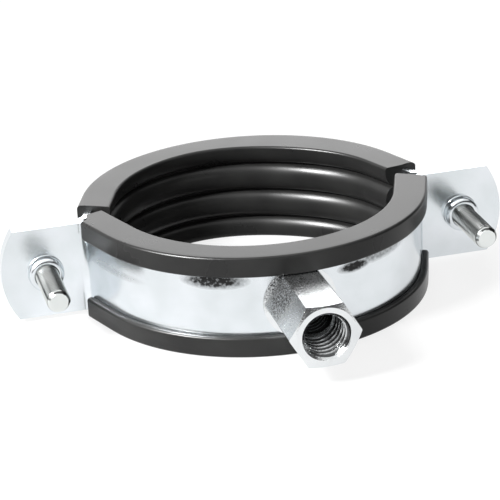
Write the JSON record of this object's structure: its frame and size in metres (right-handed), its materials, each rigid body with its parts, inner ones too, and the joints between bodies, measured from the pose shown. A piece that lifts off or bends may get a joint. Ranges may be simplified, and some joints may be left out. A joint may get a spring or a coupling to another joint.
{
  "type": "rubber lined pipe clamp",
  "caption": "Two-screw steel pipe clamp with a lobed rubber lining in both halves and a welded hexagonal connection nut.",
  "frame": {"origin": "centre of the clamped pipe, half way up the 20 mm steel band, on the plane where the two halves' ears meet", "axes": "+Z along the pipe's axis, up as the clamp lies on its side; +X along the ears, to the right as seen from the connection nut; the connection nut points to -Y"},
  "size_m": [0.112, 0.0915, 0.022],
  "materials": {
    "zinc_strip": "bright zinc plated",
    "zinc_nut": "bright zinc plated, turned bar",
    "zinc_screw": "bright zinc plated",
    "lining_rubber": "matt black, extruded"
  },
  "bodies": {
    "front_half": {"front_band": "zinc_strip", "front_lining": "lining_rubber", "connection_nut": "zinc_nut"},
    "rear_half": {"rear_band": "zinc_strip", "rear_lining": "lining_rubber"},
    "left_screw": {"left_screw": "zinc_screw"},
    "right_screw": {"right_screw": "zinc_screw"}
  },
  "joints": [
    {"name": "clamp_opening", "type": "slide", "parent": "front_half", "child": "rear_half", "axis": [0, 1, 0], "range_m": [0, 0.0185]},
    {"name": "left_screw_turn", "type": "hinge", "parent": "rear_half", "child": "left_screw", "pos_m": [-0.0466, 0.0015, 0], "axis": [0, 1, 0], "range_deg": [0, 8326]},
    {"name": "right_screw_turn", "type": "hinge", "parent": "rear_half", "child": "right_screw", "pos_m": [0.0466, 0.0015, 0], "axis": [0, 1, 0], "range_deg": [0, 8326]}
  ],
  "couplings": [
    {"joint": "left_screw_turn", "follows": "clamp_opening", "rad_per_m": 7854},
    {"joint": "right_screw_turn", "follows": "clamp_opening", "rad_per_m": 7854}
  ]
}
